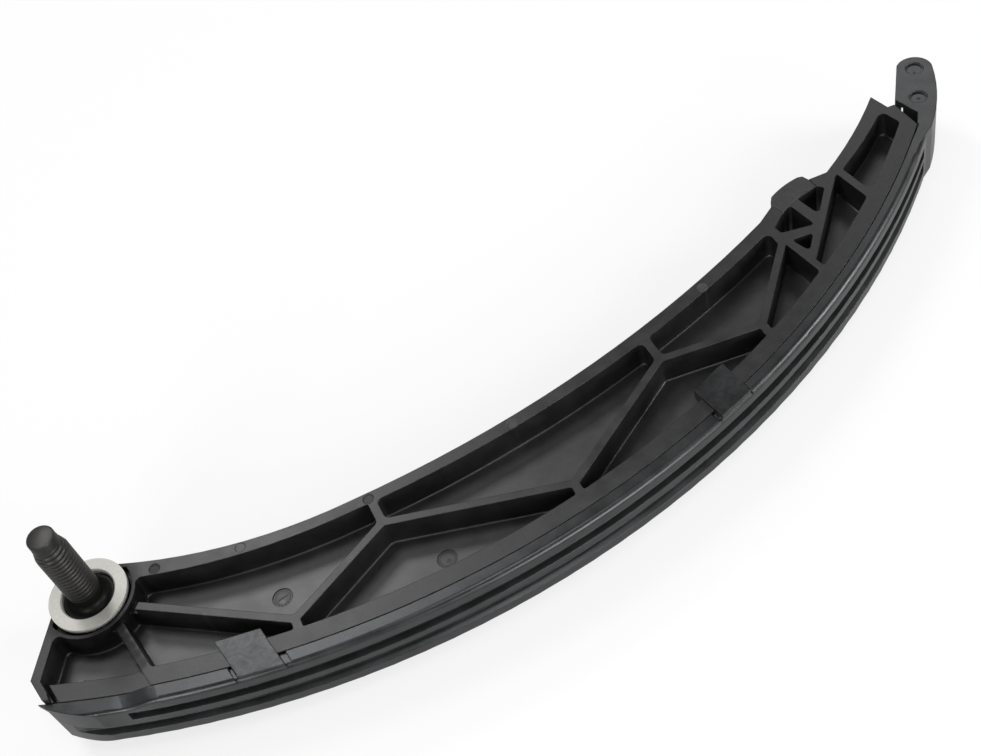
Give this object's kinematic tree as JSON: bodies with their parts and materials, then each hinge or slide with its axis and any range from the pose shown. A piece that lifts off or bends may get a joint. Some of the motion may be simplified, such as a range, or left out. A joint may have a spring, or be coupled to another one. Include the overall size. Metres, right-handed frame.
{
  "type": "timing chain tensioner rail",
  "caption": "Long curved moulded rail with a ribbed carrier, a slippery grooved chain face, a plunger pad and a shouldered pivot bolt at one end.",
  "frame": {"origin": "on the pivot axis, in the plane of the bush face that meets the engine block", "axes": "+Z along the pivot bolt towards its threaded end, +X from the pivot along the rail, +Y towards the hollow side of the rail, away from the chain"},
  "size_m": [0.343, 0.108, 0.0606],
  "materials": {
    "carrier": "black glass-filled nylon, moulded",
    "liner": "black plain nylon, moulded",
    "pad": "dark nylon, moulded",
    "bush": "turned steel",
    "bolt": "dark phosphated steel"
  },
  "bodies": {
    "rail": {"carrier": "carrier", "liner": "liner", "contact_pad": "pad", "bush": "bush"},
    "bolt": {"bolt": "bolt"}
  },
  "joints": [
    {"name": "bolt_turn", "type": "hinge", "parent": "rail", "child": "bolt", "pos_m": [0, 0, 0], "axis": [0, 0, 1], "continuous": true}
  ]
}
